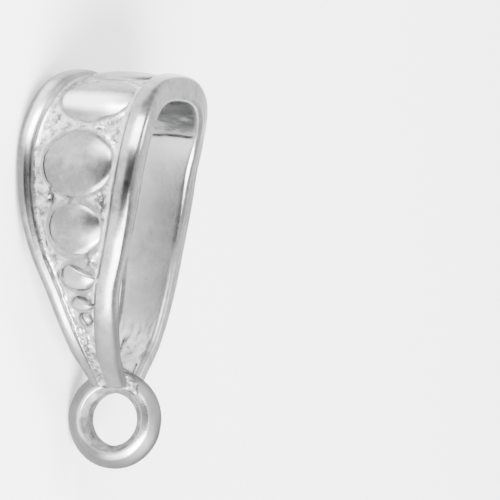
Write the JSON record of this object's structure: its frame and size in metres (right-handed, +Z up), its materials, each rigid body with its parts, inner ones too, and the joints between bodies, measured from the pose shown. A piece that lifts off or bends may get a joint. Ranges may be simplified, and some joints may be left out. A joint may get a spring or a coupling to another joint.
{
  "type": "pendant bail",
  "caption": "Pendant bail in worn silver: tapered band loop with raised rims, graduated domed discs on its front and a small closed ring soldered at its foot.",
  "frame": {"origin": "middle of the base of the part's box, lying on its side", "axes": "+X along the loop's length toward the ring, -Y the front with the discs, +Z up, close to the cord's direction"},
  "size_m": [0.0168, 0.0106, 0.0056],
  "materials": {
    "silver": "worn polish on rims and discs, rough darkened field"
  },
  "bodies": {
    "root": {"bail": "silver"}
  },
  "joints": []
}
